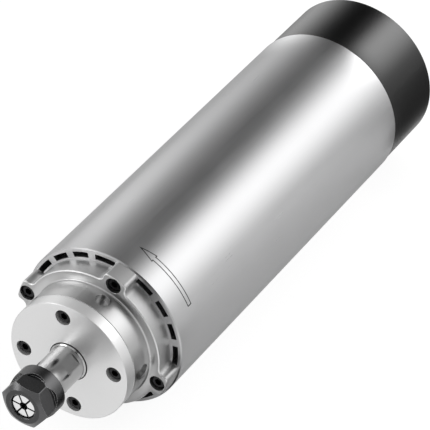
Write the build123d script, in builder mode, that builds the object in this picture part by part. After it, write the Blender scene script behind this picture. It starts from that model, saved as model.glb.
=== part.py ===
from build123d import *
import math
import os

# An air-cooled spindle motor for a small milling machine: a slotted tube body, a four-lug front
# casting, a collet nose and a black rear cap with a fan and a power socket inside.
# Millimetres. +X runs along the shaft towards the rear, +Z is up, and the origin lies on the
# axis at the middle of the tube, where a machine's clamp holds it. Angles are measured about the
# axis, from +Y towards +Z. Names that end in _radius are radii.

# Body tube
body_radius = 32.5
body_length = 162.5
body_edge = 0.45
outer_wall = 1.45
channel_height = 2.15
inner_wall = 1.9
lug_count = 4
lug_angle = 19.7
rib_half_angle = 9.3
first_web_angle = 26.0
web_pitch_angle = 18.1
web_count = 3
web_width_angle = 5.7

# Front end bell
flange_setback = 4.4
flange_depth = 8.0
lug_setback = 0.5
lug_width = 9.4
lug_corner = 1.5
lug_fillet = 2.4
screw_setback = 3.8
neck_radius = 24.2
neck_length = 9.9
neck_fillet = 0.6
flange_edge = 0.35
spigot_length = 8.1
spigot_wall = 2.5
pocket_wall = 3.0
dimple_radius = 2.6
dimple_depth = 2.4
dimple_setback = 4.3
dimple_angles = (108.7, 185.0)

# Front cover
cover_thickness = 5.4
cover_edge = 0.25
cover_wall = 2.3
cover_spigot = 2.0
cover_screw_gap = 2.85
cover_screw_angle = -5.0
throat_gap = 0.4

# Screws with a hexagon socket
screw_radius = 1.5
screw_head_radius = 2.75
screw_head_height = 3.0
screw_head_edge = 0.55
screw_key = 2.5
screw_key_depth = 1.6
screw_recess = 0.9
head_clearance = 0.35
shank_clearance = 0.05
cover_screw_length = 8.0
bell_screw_length = 12.0
cap_screw_length = 40.0
tap_extra = 1.5

# Spindle shaft
nose_radius = 7.0
seat_radius = 7.5
shaft_radius = 9.0
rear_seat_radius = 6.0
tail_radius = 5.0
shoulder_proud = 0.3
wrench_size = 13.0
wrench_flat_length = 7.2
wrench_flat_setback = 2.2
wrench_flat_angle = 134.0
shaft_edge = 0.4
shaft_bore_radius = 3.9
shaft_bore_depth = 30.0

# Collet and collet nut
nut_standoff = 16.6
nut_length = 12.6
nut_radius = 9.5
nut_face_radius = 6.9
nut_wrench_size = 16.6
nut_corner_angle = 9.7
nut_flat_length = 8.0
nut_mill_radius = 6.4
nut_mouth_radius = 4.85
nut_mouth_edge = 0.3
nut_front_chamfer = 1.5
nut_rear_chamfer = 0.3
collet_recess = 0.7
collet_length = 18.0
collet_face_radius = 4.4
collet_land_radius = 5.75
collet_land_length = 0.7
collet_groove_radius = 4.75
collet_groove_width = 1.8
collet_taper_radius = 5.5
collet_taper_angle = 8.0
collet_front_angle = 30.0
tool_radius = 1.5875
collet_slot_count = 3
collet_slot_width = 0.44
collet_rear_slot_width = 0.36
collet_slot_angle = 8.0
collet_bridge = 2.6
hook_depth = 0.9
nose_clearance = 0.06
extractor_clearance = 0.15

# Bearings
bearing_width = 9.0
bearing_outer_radius = 16.0
bearing_ball_radius = 2.35
bearing_ball_count = 11
bearing_spacing = 4.0
rear_bearing_width = 8.0
rear_bearing_outer_radius = 14.0
rear_ball_count = 8
shoulder_share = 0.27
race_clearance = 0.06
cage_width_share = 0.62
pocket_clearance = 0.1
shield_thickness = 0.4
shield_inset = 0.3
bearing_lip_radius = 13.0
locknut_radius = 10.5
locknut_width = 4.6
locknut_slot = 3.0

# Rotor and stator
core_length = 65.0
core_middle = -4.0
air_gap = 0.4
rotor_radius = 14.6
rotor_bar_count = 16
rotor_bar_depth = 3.0
rotor_bar_width = 2.2
rotor_bar_cover = 0.5
end_ring_step = 0.3
end_ring_length = 6.0
slot_count = 24
slot_mouth = 1.5
slot_width_inner = 2.4
slot_width_outer = 4.0
slot_top_radius = 16.2
core_yoke = 4.4
slot_liner = 0.2
end_turn_length = 15.0
end_turn_gap = 1.5
end_turn_inner_radius = 16.8
end_turn_wall_gap = 2.6
end_turn_bevel = 2.7
core_fit = 0.02

# Rear bracket and preload
rear_bearing_setback = 16.5
hub_wall = 3.5
hub_lead = 1.0
bracket_flange = 3.5
bracket_spigot = 7.0
bracket_floor = 3.0
bracket_floor_gap = 1.6
bracket_bore_radius = 9.0
bracket_web = 3.5
bracket_rim_gap = 0.2
clip_width = 1.0
clip_radius = 8.0
clip_groove = 0.4
clip_opening = 60.0
spring_thickness = 0.5
spring_reach = 1.2
spring_play = 0.08
bearing_fit = 0.02

# Cooling fan
fan_tip_gap = 6.5
fan_front_gap = 5.0
fan_width = 9.0
fan_disc = 1.5
fan_hub_radius = 8.0
fan_blade_count = 9
fan_blade_thickness = 1.2
fan_blade_sweep = 38.0
fan_hub_reach = 0.6
fan_bore_gap = 0.03

# Rear cap
cap_length = 30.5
cap_step = 0.4
cap_wall = 1.4
cap_floor = 3.0
cap_edge = 0.5
cap_boss_radius = 3.3
cap_head_clearance = 0.2
grille_slot_count = 24
grille_slot_width = 2.4
grille_inner_radius = 12.0
grille_boss_gap = 0.8

# Power socket
socket_radius = 8.0
socket_length = 7.5
socket_flange_radius = 9.5
socket_flange = 1.5
socket_inner_length = 4.2
socket_cup_radius = 6.4
socket_cup_depth = 7.0
socket_key_width = 1.6
socket_key_depth = 0.6
socket_nut_radius = 9.6
socket_nut_width = 2.5
insulator_boss_radius = 5.0
insulator_tail = 1.2
pin_radius = 1.0
pin_circle_radius = 3.5
pin_reach = 5.2
pin_tail = 1.4
pin_fit = 0.02

# Lead sleeve
lead_radius = 1.8
lead_angle = 64.7
lead_start_overlap = 4.0
lead_cap_gap = 0.8
lead_notch_gap = 0.3
lead_turn_setback = 3.6
lead_bend = 4.0

# Places along the axis
body_front = -body_length / 2
body_rear = body_length / 2
flange_front = body_front - flange_depth
neck_front = flange_front - neck_length
cover_front = neck_front - cover_thickness
nut_rear = cover_front - nut_standoff
nut_front = nut_rear - nut_length
collet_front = nut_front + collet_recess
front_bearing = neck_front + cover_spigot
second_bearing = front_bearing + bearing_width + bearing_spacing
bearings_end = second_bearing + bearing_width
spigot_end = body_front + spigot_length
core_front = core_middle - core_length / 2
core_rear = core_middle + core_length / 2
rear_bearing = body_rear - rear_bearing_setback - rear_bearing_width
rear_bearing_end = rear_bearing + rear_bearing_width
floor_front = rear_bearing_end + bracket_floor_gap
bracket_rear = body_rear + bracket_flange
fan_front = bracket_rear + fan_front_gap
fan_rear = fan_front + fan_width
cap_rear = body_rear + cap_length
cap_inside = cap_rear - cap_floor
socket_end = cap_rear + socket_flange + socket_length
lug_spacing = 360 / lug_count

# Radii that follow the bearing's or the tube's
cover_screw_circle_radius = bearing_outer_radius + cover_screw_gap
channel_outer_radius = body_radius - outer_wall
channel_inner_radius = channel_outer_radius - channel_height
body_bore_radius = channel_inner_radius - inner_wall
flange_radius = body_radius - flange_setback
lug_radius = body_radius - lug_setback
screw_circle_radius = body_radius - screw_setback
slot_root_radius = body_bore_radius - core_yoke
end_turn_outer_radius = body_bore_radius - end_turn_wall_gap
cap_radius = body_radius - cap_step
cap_inner_radius = cap_radius - cap_wall
fan_radius = cap_inner_radius - fan_tip_gap
grille_outer_radius = screw_circle_radius - cap_boss_radius - grille_boss_gap
lead_inner_reach = body_bore_radius - lead_radius - lead_notch_gap
lead_outer_reach = cap_inner_radius - lead_radius - lead_cap_gap

# Collet cone and its seat in the shaft
land_start = collet_front + (collet_land_radius - collet_face_radius) / math.tan(
    math.radians(collet_front_angle)
)
groove_start = land_start + collet_land_length
taper_start = groove_start + collet_groove_width
collet_end = collet_front + collet_length
taper_slope = math.tan(math.radians(collet_taper_angle))
shaft_tip = taper_start + shaft_edge


def taper_at(x):
    """Radius of the collet's cone at a place along the axis."""
    return collet_taper_radius - (x - taper_start) * taper_slope


def forward_plane(x):
    """A plane across the axis that faces the nose."""
    return Plane(origin=(x, 0, 0), x_dir=(0, 1, 0), z_dir=(-1, 0, 0))


def rear_plane(x):
    """A plane across the axis that faces the rear."""
    return Plane(origin=(x, 0, 0), x_dir=(0, 1, 0), z_dir=(1, 0, 0))


def side_plane(x, radius, angle):
    """A plane that touches a cylinder about the axis, facing outwards, with its x along the axis."""
    outward = (0, math.cos(math.radians(angle)), math.sin(math.radians(angle)))
    return Plane(
        origin=(x, radius * outward[1], radius * outward[2]), x_dir=(1, 0, 0), z_dir=outward
    )


def half_section(*points):
    """A flat face in the XZ plane from points of place along the axis and radius."""
    with BuildSketch(Plane.XZ) as section:
        with BuildLine():
            Polyline(*points, close=True)
        make_face()
    return section.sketch


def ring_section(start, end, inner, outer):
    """Half section of a plain ring."""
    return half_section((start, inner), (end, inner), (end, outer), (start, outer))


def sector(inner, outer, start_angle, end_angle):
    """A piece of a flat ring between two angles."""
    with BuildSketch() as shape:
        with BuildLine():
            inner_arc = CenterArc((0, 0), inner, start_angle, end_angle - start_angle)
            outer_arc = CenterArc((0, 0), outer, start_angle, end_angle - start_angle)
            Line(inner_arc @ 0, outer_arc @ 0)
            Line(inner_arc @ 1, outer_arc @ 1)
        make_face()
    return shape.sketch


def lugged_outline(reach):
    """The outline of the front flange and the rear bracket: a disc with four lugs of that reach."""
    height = reach - flange_radius
    share = min(1, height / (lug_corner + lug_fillet))
    with BuildSketch() as outline:
        Circle(flange_radius)
        with PolarLocations((flange_radius + reach) / 2, lug_count, start_angle=lug_angle):
            Rectangle(2 * height, lug_width)
        Circle(reach, mode=Mode.INTERSECT)
        outer = outline.vertices().filter_by(lambda v: math.hypot(v.X, v.Y) > reach - 0.01)
        fillet(outer, lug_corner * share)
        inner = outline.vertices().filter_by(lambda v: math.hypot(v.X, v.Y) < flange_radius + 0.01)
        fillet(inner, lug_fillet * share)
    return outline.sketch


def channel_angles():
    """Start and end angle of each air channel of one quarter, counted from its rib's middle."""
    edges = [rib_half_angle]
    for web in range(web_count):
        middle = first_web_angle + web * web_pitch_angle
        edges += [middle - web_width_angle / 2, middle + web_width_angle / 2]
    edges.append(lug_spacing - rib_half_angle)
    return list(zip(edges[::2], edges[1::2]))


def finish(builder, name):
    """Labels a finished piece and writes it."""
    builder.part.label = name
    export_step(builder.part, f"parts/{name}.step")
    print(name, round(builder.part.volume))


os.makedirs("parts", exist_ok=True)

# The tube: an extrusion with a ring of air channels between its two walls and four solid ribs.
with BuildPart() as body_tube:
    with BuildSketch(Plane.YZ.offset(body_front)):
        Circle(body_radius)
        Circle(body_bore_radius, mode=Mode.SUBTRACT)
        for quarter in range(lug_count):
            for start, end in channel_angles():
                turn = lug_angle + quarter * lug_spacing
                add(
                    sector(channel_inner_radius, channel_outer_radius, turn + start, turn + end),
                    mode=Mode.SUBTRACT,
                )
    extrude(amount=body_length)
    rims = body_tube.edges().filter_by(GeomType.CIRCLE)
    chamfer(rims.filter_by(lambda e: abs(e.radius - body_radius) < 0.01), body_edge)
    with Locations(forward_plane(body_front)):
        with PolarLocations(screw_circle_radius, lug_count, start_angle=-lug_angle):
            Hole(
                screw_radius + shank_clearance,
                depth=bell_screw_length + tap_extra + screw_recess + screw_head_height - flange_depth,
            )
    with Locations(rear_plane(body_rear)):
        with PolarLocations(screw_circle_radius, lug_count, start_angle=lug_angle):
            Hole(
                screw_radius + shank_clearance,
                depth=cap_screw_length + screw_recess + screw_head_height - cap_length + tap_extra,
            )
finish(body_tube, "body_tube")

# The front casting: lugged flange, turned neck, bearing seat and a spigot into the tube.
with BuildPart() as front_end_bell:
    with BuildSketch(Plane.YZ.offset(flange_front)):
        add(lugged_outline(lug_radius))
    extrude(amount=flange_depth)
    revolve(
        half_section(
            (neck_front, 0),
            (neck_front, neck_radius),
            (flange_front, neck_radius),
            (flange_front, flange_radius - lug_fillet),
            (body_front, flange_radius - lug_fillet),
            (body_front, body_bore_radius - core_fit),
            (spigot_end, body_bore_radius - core_fit),
            (spigot_end, 0),
        ),
        axis=Axis.X,
    )
    neck_root = front_end_bell.edges().filter_by(GeomType.CIRCLE).filter_by(
        lambda e: abs(e.radius - neck_radius) + abs(e.arc_center.X - flange_front) < 0.001
    )
    fillet(neck_root, neck_fillet)
    flange_face = front_end_bell.faces().filter_by(Axis.X).filter_by(
        lambda f: abs(f.center().X - flange_front) < 0.001
    )
    chamfer(flange_face[0].outer_wire().edges(), flange_edge)
    revolve(
        half_section(
            (neck_front, 0),
            (neck_front, bearing_outer_radius + bearing_fit),
            (bearings_end, bearing_outer_radius + bearing_fit),
            (bearings_end, bearing_lip_radius),
            (spigot_end, bearing_lip_radius),
            (spigot_end, 0),
        ),
        axis=Axis.X,
        mode=Mode.SUBTRACT,
    )
    revolve(
        ring_section(
            body_front - flange_depth / 2,
            spigot_end,
            bearing_outer_radius + pocket_wall,
            body_bore_radius - spigot_wall,
        ),
        axis=Axis.X,
        mode=Mode.SUBTRACT,
    )
    with Locations(forward_plane(flange_front)):
        with PolarLocations(screw_circle_radius, lug_count, start_angle=-lug_angle):
            CounterBoreHole(
                screw_radius + shank_clearance,
                screw_head_radius + head_clearance,
                screw_head_height + screw_recess,
                depth=flange_depth,
            )
    with Locations(forward_plane(neck_front)):
        with PolarLocations(cover_screw_circle_radius, lug_count, start_angle=-cover_screw_angle):
            Hole(
                screw_radius + shank_clearance,
                depth=cover_screw_length + screw_head_height + screw_recess
                - cover_thickness + tap_extra,
            )
    with Locations(
        *[side_plane(flange_front - dimple_setback, neck_radius, angle) for angle in dimple_angles]
    ):
        Hole(dimple_radius, depth=dimple_depth)
finish(front_end_bell, "front_end_bell")

# The front cover closes the bearing seat and runs close round the shaft.
throat_radius = seat_radius + throat_gap
with BuildPart() as front_cover:
    revolve(
        half_section(
            (cover_front, throat_radius),
            (cover_front, neck_radius - cover_edge),
            (cover_front + cover_edge, neck_radius),
            (neck_front - cover_edge, neck_radius),
            (neck_front, neck_radius - cover_edge),
            (neck_front, bearing_outer_radius - core_fit),
            (front_bearing, bearing_outer_radius - core_fit),
            (front_bearing, bearing_lip_radius),
            (cover_front + cover_wall, bearing_lip_radius),
            (cover_front + cover_wall, throat_radius),
        ),
        axis=Axis.X,
    )
    with Locations(forward_plane(cover_front)):
        with PolarLocations(cover_screw_circle_radius, lug_count, start_angle=-cover_screw_angle):
            CounterBoreHole(
                screw_radius + shank_clearance,
                screw_head_radius + head_clearance,
                screw_head_height + screw_recess,
                depth=cover_thickness,
            )
finish(front_cover, "front_cover")


def socket_screw(shank_length):
    """A cap screw whose head rests on the XY plane and whose shank points down."""
    with BuildPart() as screw:
        Cylinder(
            screw_head_radius,
            screw_head_height,
            align=(Align.CENTER, Align.CENTER, Align.MIN),
        )
        Cylinder(
            screw_radius,
            shank_length,
            align=(Align.CENTER, Align.CENTER, Align.MAX),
        )
        rim = screw.edges().filter_by(GeomType.CIRCLE).group_by(Axis.Z)[-1]
        chamfer(rim, screw_head_edge)
        with BuildSketch(Plane.XY.offset(screw_head_height)) as key_hole:
            RegularPolygon(screw_key / 2, 6, major_radius=False)
        extrude(key_hole.sketch, amount=-screw_key_depth, mode=Mode.SUBTRACT)
    return screw.part


# Each group of like screws is one node of separate solids, and their heads sit below the face.
head_seat = screw_recess + screw_head_height
with BuildPart() as front_cover_screws:
    with Locations(forward_plane(cover_front + head_seat)):
        with PolarLocations(cover_screw_circle_radius, lug_count, start_angle=-cover_screw_angle):
            add(socket_screw(cover_screw_length))
finish(front_cover_screws, "front_cover_screws")

with BuildPart() as end_bell_screws:
    with Locations(forward_plane(flange_front + head_seat)):
        with PolarLocations(screw_circle_radius, lug_count, start_angle=-lug_angle):
            add(socket_screw(bell_screw_length))
finish(end_bell_screws, "end_bell_screws")

with BuildPart() as rear_cap_screws:
    with Locations(rear_plane(cap_rear - head_seat)):
        with PolarLocations(screw_circle_radius, lug_count, start_angle=lug_angle):
            add(socket_screw(cap_screw_length))
finish(rear_cap_screws, "rear_cap_screws")

# The shaft: collet seat and thread in front, wrench flats, bearing seats, rotor seat and fan tail.
seat_front = cover_front - shoulder_proud
rotor_seat_end = core_rear + end_ring_length + end_turn_gap
tail_start = rear_bearing_end + 2 * clip_width
with BuildPart() as spindle_shaft:
    revolve(
        half_section(
            (shaft_tip, 0),
            (shaft_tip, nose_radius - shaft_edge),
            (shaft_tip + shaft_edge, nose_radius),
            (seat_front - shaft_edge, nose_radius),
            (seat_front, seat_radius),
            (bearings_end, seat_radius),
            (bearings_end, shaft_radius),
            (rotor_seat_end, shaft_radius),
            (rotor_seat_end, seat_radius),
            (rear_bearing, seat_radius),
            (rear_bearing, rear_seat_radius),
            (rear_bearing_end, rear_seat_radius),
            (rear_bearing_end, rear_seat_radius - clip_groove),
            (rear_bearing_end + clip_width, rear_seat_radius - clip_groove),
            (rear_bearing_end + clip_width, rear_seat_radius),
            (tail_start, rear_seat_radius),
            (tail_start, tail_radius),
            (fan_rear, tail_radius),
            (fan_rear, tail_radius - clip_groove),
            (fan_rear + clip_width, tail_radius - clip_groove),
            (fan_rear + clip_width, tail_radius),
            (fan_rear + 2 * clip_width, tail_radius),
            (fan_rear + 2 * clip_width, 0),
        ),
        axis=Axis.X,
    )
    seat_end = collet_end + shaft_edge
    revolve(
        half_section(
            (shaft_tip, 0),
            (shaft_tip, taper_at(shaft_tip) + nose_clearance),
            (seat_end, taper_at(seat_end) + nose_clearance),
            (seat_end, shaft_bore_radius - shaft_edge),
            (shaft_tip + shaft_bore_depth, shaft_bore_radius - shaft_edge),
            (shaft_tip + shaft_bore_depth, 0),
        ),
        axis=Axis.X,
        mode=Mode.SUBTRACT,
    )
    flat_middle = cover_front - wrench_flat_setback - wrench_flat_length / 2
    with BuildSketch(
        side_plane(flat_middle, wrench_size / 2, wrench_flat_angle),
        side_plane(flat_middle, wrench_size / 2, wrench_flat_angle + 180),
    ):
        Rectangle(wrench_flat_length, 2 * nose_radius)
    extrude(amount=nose_radius, mode=Mode.SUBTRACT)
finish(spindle_shaft, "spindle_shaft")

# The collet: a slotted cone with a groove that the nut's extractor ring hooks into.
with BuildPart() as collet:
    revolve(
        half_section(
            (collet_front, tool_radius),
            (collet_front, collet_face_radius),
            (land_start, collet_land_radius),
            (groove_start, collet_land_radius),
            (groove_start, collet_groove_radius),
            (taper_start, collet_groove_radius),
            (taper_start, collet_taper_radius),
            (collet_end, taper_at(collet_end)),
            (collet_end, tool_radius),
        ),
        axis=Axis.X,
    )
    with BuildSketch(Plane.YZ.offset(collet_front)):
        with PolarLocations(0, 2 * collet_slot_count, start_angle=collet_slot_angle):
            Rectangle(2 * collet_land_radius, collet_slot_width)
    extrude(amount=collet_length - collet_bridge, mode=Mode.SUBTRACT)
    with BuildSketch(Plane.YZ.offset(taper_start + collet_bridge)):
        with PolarLocations(
            0, 2 * collet_slot_count, start_angle=collet_slot_angle + 90 / collet_slot_count
        ):
            Rectangle(2 * collet_land_radius, collet_rear_slot_width)
    extrude(amount=collet_length, mode=Mode.SUBTRACT)
finish(collet, "collet")

# The nut: a round collar whose front is milled to a hexagon by a round cutter.
hook_start = groove_start + extractor_clearance
hook_end = taper_start - extractor_clearance
groove_radius = collet_land_radius + hook_depth
cone_radius = nut_mouth_radius + nose_clearance
cone_start = collet_front + (nut_mouth_radius - collet_face_radius) / math.tan(
    math.radians(collet_front_angle)
) - nose_clearance
nut_bore_radius = collet_land_radius + 2 * nose_clearance
cone_end = cone_start + (nut_bore_radius - nut_mouth_radius) / math.tan(
    math.radians(collet_front_angle)
)
with BuildPart() as collet_nut:
    revolve(
        half_section(
            (nut_front + nut_mouth_edge, nut_mouth_radius),
            (nut_front, nut_mouth_radius + nut_mouth_edge),
            (nut_front, nut_face_radius),
            (nut_front + nut_front_chamfer, nut_radius),
            (nut_rear - nut_rear_chamfer, nut_radius),
            (nut_rear, nut_radius - nut_rear_chamfer),
            (nut_rear, nose_radius + nose_clearance),
            (taper_start, nose_radius + nose_clearance),
            (hook_end, groove_radius),
            (hook_start, groove_radius),
            (hook_start, nut_bore_radius),
            (cone_end, nut_bore_radius),
            (cone_start, nut_mouth_radius),
        ),
        axis=Axis.X,
    )
    mill_middle = nut_front + nut_flat_length - nut_mill_radius
    with BuildSketch(
        *[
            side_plane(mill_middle, nut_wrench_size / 2, nut_corner_angle + 30 + 60 * side)
            for side in range(6)
        ]
    ):
        Circle(nut_mill_radius)
        with Locations((-nut_mill_radius, 0)):
            Rectangle(2 * nut_mill_radius, 2 * nut_mill_radius)
    extrude(amount=nut_radius, mode=Mode.SUBTRACT)
finish(collet_nut, "collet_nut")

with BuildPart() as nut_extractor_ring:
    revolve(
        ring_section(
            hook_start, hook_end, collet_groove_radius + 2 * extractor_clearance, groove_radius
        ),
        axis=Axis.X,
    )
finish(nut_extractor_ring, "nut_extractor_ring")


def bearing_sizes(inner, outer):
    """Ball circle, and the shoulder radii of the inner and outer ring."""
    depth = outer - inner
    return (inner + outer) / 2, inner + depth * (0.5 - shoulder_share / 2), outer - depth * (
        0.5 - shoulder_share / 2
    )


def bearing_pieces(label, start, width, inner, outer, count, open_side):
    """Writes a ball bearing's rings, cage and balls. The open side has a relieved outer shoulder."""
    ball_circle, inner_shoulder, outer_shoulder = bearing_sizes(inner, outer)
    middle = start + width / 2
    groove_radius = bearing_ball_radius + race_clearance
    relief = (bearing_ball_radius + race_clearance) / 2
    with BuildPart() as inner_ring:
        revolve(ring_section(start, start + width, inner, inner_shoulder), axis=Axis.X)
        with Locations((middle, 0, 0)):
            Torus(ball_circle, groove_radius, rotation=(0, 90, 0), mode=Mode.SUBTRACT)
    finish(inner_ring, f"{label}_inner_ring")
    with BuildPart() as outer_ring:
        revolve(ring_section(start, start + width, outer_shoulder, outer), axis=Axis.X)
        with Locations((middle, 0, 0)):
            Torus(ball_circle, groove_radius, rotation=(0, 90, 0), mode=Mode.SUBTRACT)
        if open_side:
            revolve(
                ring_section(
                    middle,
                    middle + open_side * width / 2,
                    outer_shoulder,
                    outer_shoulder + relief / 2,
                ),
                axis=Axis.X,
                mode=Mode.SUBTRACT,
            )
    finish(outer_ring, f"{label}_outer_ring")
    with BuildPart() as balls:
        with Locations(Plane.YZ.offset(middle)):
            with PolarLocations(ball_circle, count):
                Sphere(bearing_ball_radius)
    finish(balls, f"{label}_balls")
    cage_width = width * cage_width_share
    cage_inner = inner_shoulder + (ball_circle - inner_shoulder) / 3
    cage_outer = outer_shoulder - (outer_shoulder - ball_circle) / 3
    with BuildPart() as cage:
        revolve(
            ring_section(middle - cage_width / 2, middle + cage_width / 2, cage_inner, cage_outer),
            axis=Axis.X,
        )
        with Locations(Plane.YZ.offset(middle)):
            with PolarLocations(ball_circle, count):
                Cylinder(
                    bearing_ball_radius + pocket_clearance,
                    outer - inner,
                    rotation=(0, 90, 0),
                    mode=Mode.SUBTRACT,
                )
    finish(cage, f"{label}_cage")


bearing_pieces(
    "front_bearing",
    front_bearing,
    bearing_width,
    seat_radius,
    bearing_outer_radius,
    bearing_ball_count,
    -1,
)
bearing_pieces(
    "second_bearing",
    second_bearing,
    bearing_width,
    seat_radius,
    bearing_outer_radius,
    bearing_ball_count,
    1,
)
bearing_pieces(
    "rear_bearing",
    rear_bearing,
    rear_bearing_width,
    rear_seat_radius,
    rear_bearing_outer_radius,
    rear_ball_count,
    0,
)

# Spacers between the two front bearings.
front_inner_shoulder, front_outer_shoulder = bearing_sizes(seat_radius, bearing_outer_radius)[1:]
spacer_start = front_bearing + bearing_width
with BuildPart() as bearing_inner_spacer:
    revolve(
        ring_section(spacer_start, second_bearing, seat_radius, front_inner_shoulder), axis=Axis.X
    )
finish(bearing_inner_spacer, "bearing_inner_spacer")

with BuildPart() as bearing_outer_spacer:
    revolve(
        ring_section(
            spacer_start, second_bearing, front_outer_shoulder + race_clearance, bearing_outer_radius
        ),
        axis=Axis.X,
    )
finish(bearing_outer_spacer, "bearing_outer_spacer")

# The locknut clamps the front inner rings against the shaft's shoulder.
with BuildPart() as bearing_locknut:
    locknut_face = front_bearing - locknut_width
    revolve(
        half_section(
            (locknut_face, seat_radius),
            (locknut_face, locknut_radius),
            (front_bearing - shaft_edge, locknut_radius),
            (front_bearing - shaft_edge, front_inner_shoulder),
            (front_bearing, front_inner_shoulder),
            (front_bearing, seat_radius),
        ),
        axis=Axis.X,
    )
    with BuildSketch(Plane.YZ.offset(locknut_face)):
        with PolarLocations(locknut_radius, lug_count):
            Rectangle(locknut_slot, locknut_slot)
    extrude(amount=locknut_width, mode=Mode.SUBTRACT)
finish(bearing_locknut, "bearing_locknut")

# Shields close both sides of the rear bearing.
rear_inner_shoulder, rear_outer_shoulder = bearing_sizes(
    rear_seat_radius, rear_bearing_outer_radius
)[1:]
with BuildPart() as rear_bearing_shields:
    for shield_start in (
        rear_bearing + shield_inset,
        rear_bearing_end - shield_inset - shield_thickness,
    ):
        revolve(
            ring_section(
                shield_start,
                shield_start + shield_thickness,
                rear_inner_shoulder + 2 * race_clearance,
                rear_outer_shoulder,
            ),
            axis=Axis.X,
        )
finish(rear_bearing_shields, "rear_bearing_shields")

# Rotor: laminations with bar slots, and the cast cage of bars and end rings.
bar_outer_radius = rotor_radius - rotor_bar_cover
with BuildPart() as rotor_core:
    with BuildSketch(Plane.YZ.offset(core_front)):
        Circle(rotor_radius)
        Circle(shaft_radius, mode=Mode.SUBTRACT)
        with PolarLocations(bar_outer_radius - rotor_bar_depth / 2, rotor_bar_count):
            Rectangle(rotor_bar_depth, rotor_bar_width, mode=Mode.SUBTRACT)
    extrude(amount=core_length)
finish(rotor_core, "rotor_core")

with BuildPart() as rotor_cage:
    for ring_start in (core_front - end_ring_length, core_rear):
        revolve(
            ring_section(
                ring_start,
                ring_start + end_ring_length,
                shaft_radius,
                rotor_radius - end_ring_step,
            ),
            axis=Axis.X,
        )
    with BuildSketch(Plane.YZ.offset(core_front)):
        with PolarLocations(bar_outer_radius - rotor_bar_depth / 2, rotor_bar_count):
            Rectangle(rotor_bar_depth - 2 * core_fit, rotor_bar_width - 2 * core_fit)
    extrude(amount=core_length)
finish(rotor_cage, "rotor_cage")


def slot_outline(inset):
    """One stator slot, with its mouth towards the axis along +X. The inset makes it smaller."""
    half_mouth = slot_mouth / 2 - inset
    half_top = slot_width_inner / 2 - inset
    half_root = slot_width_outer / 2 - inset
    top = slot_top_radius + inset
    root = slot_root_radius - inset
    with BuildSketch() as outline:
        with BuildLine():
            Polyline(
                (rotor_radius, -half_mouth),
                (top - half_top + half_mouth, -half_mouth),
                (top, -half_top),
                (root, -half_root),
                (root, half_root),
                (top, half_top),
                (top - half_top + half_mouth, half_mouth),
                (rotor_radius, half_mouth),
                close=True,
            )
        make_face()
    return outline.sketch


stator_bore_radius = rotor_radius + air_gap
with BuildPart() as stator_core:
    with BuildSketch(Plane.YZ.offset(core_front)):
        Circle(body_bore_radius - core_fit)
        Circle(stator_bore_radius, mode=Mode.SUBTRACT)
        with PolarLocations(0, slot_count):
            add(slot_outline(0), mode=Mode.SUBTRACT)
    extrude(amount=core_length)
finish(stator_core, "stator_core")

# The windings: conductors in the slots and a bundle of end turns at each end.
turn_middle = (end_turn_inner_radius + end_turn_outer_radius) / 2
turn_flat = (end_turn_outer_radius - end_turn_inner_radius) / 4
with BuildPart() as stator_windings:
    with BuildSketch(Plane.YZ.offset(core_front - end_turn_gap)):
        with PolarLocations(0, slot_count):
            add(slot_outline(slot_liner))
        Circle(slot_top_radius + slot_liner, mode=Mode.SUBTRACT)
    extrude(amount=core_length + 2 * end_turn_gap)
    for start, end, bevel in (
        (core_front - end_turn_length, core_front - end_turn_gap, end_turn_bevel),
        (core_rear + end_turn_length, core_rear + end_turn_gap, -end_turn_bevel),
    ):
        revolve(
            half_section(
                (start, turn_middle - turn_flat),
                (start + bevel, end_turn_inner_radius),
                (end, end_turn_inner_radius),
                (end, end_turn_outer_radius),
                (start + bevel, end_turn_outer_radius),
                (start, turn_middle + turn_flat),
            ),
            axis=Axis.X,
        )
finish(stator_windings, "stator_windings")

# The rear bracket carries the rear bearing and lets air and the leads past its rim.
hub_radius = rear_bearing_outer_radius + hub_wall
web_front = body_rear - bracket_web
notch_radius = lead_radius + lead_notch_gap
with BuildPart() as rear_bracket:
    with BuildSketch(Plane.YZ.offset(body_rear)):
        add(lugged_outline(cap_inner_radius - bracket_rim_gap))
    extrude(amount=bracket_flange)
    revolve(
        half_section(
            (rear_bearing - hub_lead, 0),
            (rear_bearing - hub_lead, hub_radius),
            (web_front, hub_radius),
            (web_front, body_bore_radius - spigot_wall),
            (body_rear - bracket_spigot, body_bore_radius - spigot_wall),
            (body_rear - bracket_spigot, body_bore_radius - core_fit),
            (body_rear, body_bore_radius - core_fit),
            (body_rear, 0),
        ),
        axis=Axis.X,
    )
    revolve(
        half_section(
            (rear_bearing - hub_lead, 0),
            (rear_bearing - hub_lead, rear_bearing_outer_radius + bearing_fit),
            (floor_front, rear_bearing_outer_radius + bearing_fit),
            (floor_front, bracket_bore_radius),
            (floor_front + bracket_floor, bracket_bore_radius),
            (floor_front + bracket_floor, rear_bearing_outer_radius),
            (bracket_rear, rear_bearing_outer_radius),
            (bracket_rear, 0),
        ),
        axis=Axis.X,
        mode=Mode.SUBTRACT,
    )
    with Locations(rear_plane(bracket_rear)):
        with PolarLocations(screw_circle_radius, lug_count, start_angle=lug_angle):
            Hole(screw_radius + shank_clearance, depth=bracket_flange)
    with BuildSketch(Plane.YZ.offset(body_rear - bracket_spigot)):
        with PolarLocations(lead_inner_reach, 1, start_angle=lead_angle):
            Circle(notch_radius)
            with Locations((notch_radius, 0)):
                Rectangle(2 * notch_radius, 2 * notch_radius)
    extrude(amount=bracket_spigot + bracket_flange, mode=Mode.SUBTRACT)
finish(rear_bracket, "rear_bracket")

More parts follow.
